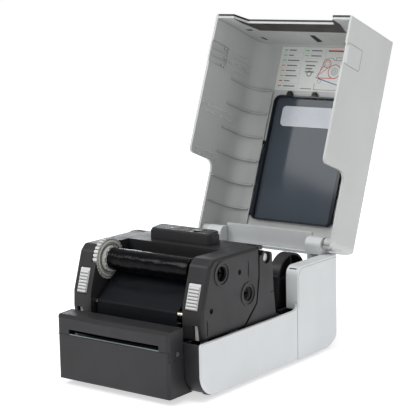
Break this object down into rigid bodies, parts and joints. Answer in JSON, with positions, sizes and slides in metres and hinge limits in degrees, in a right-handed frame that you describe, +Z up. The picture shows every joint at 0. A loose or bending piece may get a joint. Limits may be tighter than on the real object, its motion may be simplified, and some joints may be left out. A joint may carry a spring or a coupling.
{
  "type": "desktop label maker",
  "caption": "Desktop thermal-transfer label maker with its lid open: roll bay, swing-up ribbon carriage with print head, platen drive, and a guillotine cutter on the front",
  "frame": {"origin": "middle of the bounding box in X and Y, on the table under the rubber feet", "axes": "+X to the machine's right seen from behind the front, -Y towards the front where labels leave, +Z up; lid open at rest"},
  "size_m": [0.19, 0.4134, 0.3767],
  "materials": {
    "white_plastic": "fine satin moulding",
    "dark_plastic": "fine grained moulding",
    "latch_plastic": "satin",
    "natural_plastic": "satin",
    "black_plastic": "satin",
    "smoked_window": "polished, smoked",
    "film": "glossy coated film",
    "steel": "zinc plated",
    "blade_steel": "ground",
    "polished_steel": "polished",
    "motor_steel": "satin",
    "brass": "machined",
    "rubber": "matt",
    "label_paper": "matt",
    "circuit_board": "solder mask",
    "light_lens": "translucent"
  },
  "bodies": {
    "base": {"base_tray": "dark_plastic", "right_front_panel": "white_plastic", "left_front_panel": "white_plastic", "rear_cover": "white_plastic", "hinge_pins": "steel", "rubber_feet": "rubber", "media_deck": "dark_plastic", "media_sensor": "black_plastic", "media_bay": "dark_plastic", "platen_bushings": "natural_plastic", "feed_motor": "motor_steel", "main_board": "circuit_board", "board_screws": "steel", "connector_panel": "dark_plastic", "dc_inlet": "black_plastic", "data_ports": "steel", "power_switch_body": "black_plastic", "cutter_upper_cover": "dark_plastic", "cutter_lower_cover": "dark_plastic", "fixed_blade": "blade_steel", "cutter_motor": "motor_steel", "cutter_screws": "steel", "right_pivot_bracket": "dark_plastic", "left_pivot_bracket": "dark_plastic", "pivot_pins": "steel"},
    "lid": {"lid_shell": "white_plastic", "lid_front_trim": "dark_plastic", "lid_window": "smoked_window", "instruction_label": "label_paper"},
    "carriage": {"right_cheek": "dark_plastic", "left_cheek": "dark_plastic", "carriage_top": "dark_plastic", "carriage_frame": "steel", "head_beam": "steel", "head_springs": "steel", "ribbon_guide_rods": "polished_steel", "ribbon_web": "film", "control_pod": "dark_plastic", "status_light": "light_lens"},
    "print_head": {"print_head": "motor_steel"},
    "right_latch": {"right_latch": "latch_plastic"},
    "left_latch": {"left_latch": "latch_plastic"},
    "feed_button": {"feed_button": "black_plastic"},
    "take_up": {"take_up_spindle": "natural_plastic", "take_up_roll": "film"},
    "supply": {"supply_spindle": "natural_plastic", "supply_roll": "film"},
    "platen": {"platen_roller": "rubber", "platen_shaft": "steel", "platen_gear": "natural_plastic"},
    "idler_gear": {"idler_gear": "natural_plastic"},
    "motor_pinion": {"motor_pinion": "brass"},
    "right_roll_holder": {"right_roll_holder": "dark_plastic"},
    "left_roll_holder": {"left_roll_holder": "dark_plastic"},
    "holder_pinion": {"holder_pinion": "natural_plastic"},
    "power_rocker": {"power_rocker": "black_plastic"},
    "cutter_blade": {"cutter_blade": "blade_steel"},
    "cutter_pinion": {"cutter_pinion": "natural_plastic"}
  },
  "joints": [
    {"name": "lid_hinge", "type": "hinge", "parent": "base", "child": "lid", "pos_m": [0, 0.07574, 0.12], "axis": [1, 0, 0], "range_deg": [0, 111]},
    {"name": "carriage_hinge", "type": "hinge", "parent": "base", "child": "carriage", "pos_m": [0, -0.05276, 0.1276], "axis": [1, 0, 0], "range_deg": [-50, 0]},
    {"name": "head_float", "type": "slide", "parent": "carriage", "child": "print_head", "axis": [0, 0, 1], "range_m": [0, 0.0012], "stiffness_N_per_m": 2000, "deforming": ["head_springs"]},
    {"name": "right_latch_pivot", "type": "hinge", "parent": "carriage", "child": "right_latch", "pos_m": [0.075, -0.15076, 0.084], "axis": [1, 0, 0], "range_deg": [-6, 0], "stiffness_Nm_per_rad": 0.3},
    {"name": "left_latch_pivot", "type": "hinge", "parent": "carriage", "child": "left_latch", "pos_m": [-0.075, -0.15076, 0.084], "axis": [1, 0, 0], "range_deg": [-6, 0], "stiffness_Nm_per_rad": 0.3},
    {"name": "feed_button_press", "type": "slide", "parent": "carriage", "child": "feed_button", "axis": [0, 0, -1], "range_m": [0, 0.0015], "stiffness_N_per_m": 400},
    {"name": "take_up_spin", "type": "hinge", "parent": "carriage", "child": "take_up", "pos_m": [0, -0.13376, 0.1247], "axis": [1, 0, 0], "continuous": true},
    {"name": "supply_spin", "type": "hinge", "parent": "carriage", "child": "supply", "pos_m": [0, -0.08776, 0.0946], "axis": [1, 0, 0], "continuous": true},
    {"name": "platen_spin", "type": "hinge", "parent": "base", "child": "platen", "pos_m": [0, -0.15676, 0.0493], "axis": [1, 0, 0], "continuous": true},
    {"name": "idler_spin", "type": "hinge", "parent": "base", "child": "idler_gear", "pos_m": [-0.0863, -0.13956, 0.03381], "axis": [1, 0, 0], "continuous": true},
    {"name": "motor_spin", "type": "hinge", "parent": "base", "child": "motor_pinion", "pos_m": [-0.0863, -0.11873, 0.03014], "axis": [1, 0, 0], "continuous": true},
    {"name": "right_holder_slide", "type": "slide", "parent": "base", "child": "right_roll_holder", "axis": [1, 0, 0], "range_m": [0, 0.005], "stiffness_N_per_m": 60},
    {"name": "left_holder_slide", "type": "slide", "parent": "base", "child": "left_roll_holder", "axis": [1, 0, 0], "range_m": [-0.0052, 0.0002]},
    {"name": "holder_pinion_spin", "type": "hinge", "parent": "base", "child": "holder_pinion", "pos_m": [0, 0.02524, 0.0345], "axis": [0, 0, 1], "range_deg": [-57.5, 0.2]},
    {"name": "rocker_tilt", "type": "hinge", "parent": "base", "child": "power_rocker", "pos_m": [0.046, 0.07874, 0.038], "axis": [0, 0, 1], "range_deg": [0, 14]},
    {"name": "cutter_blade_slide", "type": "slide", "parent": "base", "child": "cutter_blade", "axis": [0, 0, -1], "range_m": [0, 0.008]},
    {"name": "cutter_pinion_spin", "type": "hinge", "parent": "base", "child": "cutter_pinion", "pos_m": [0.064, -0.18961, 0.034], "axis": [1, 0, 0], "range_deg": [-0.2, 76.6]}
  ],
  "couplings": [
    {"joint": "left_latch_pivot", "follows": "right_latch_pivot", "ratio": 1},
    {"joint": "supply_spin", "follows": "take_up_spin", "ratio": 0.625},
    {"joint": "idler_spin", "follows": "platen_spin", "ratio": -0.53333},
    {"joint": "motor_spin", "follows": "platen_spin", "ratio": 1.3333},
    {"joint": "holder_pinion_spin", "follows": "right_holder_slide", "rad_per_m": -200},
    {"joint": "left_holder_slide", "follows": "right_holder_slide", "ratio": -1},
    {"joint": "cutter_pinion_spin", "follows": "cutter_blade_slide", "rad_per_m": 166.67}
  ]
}
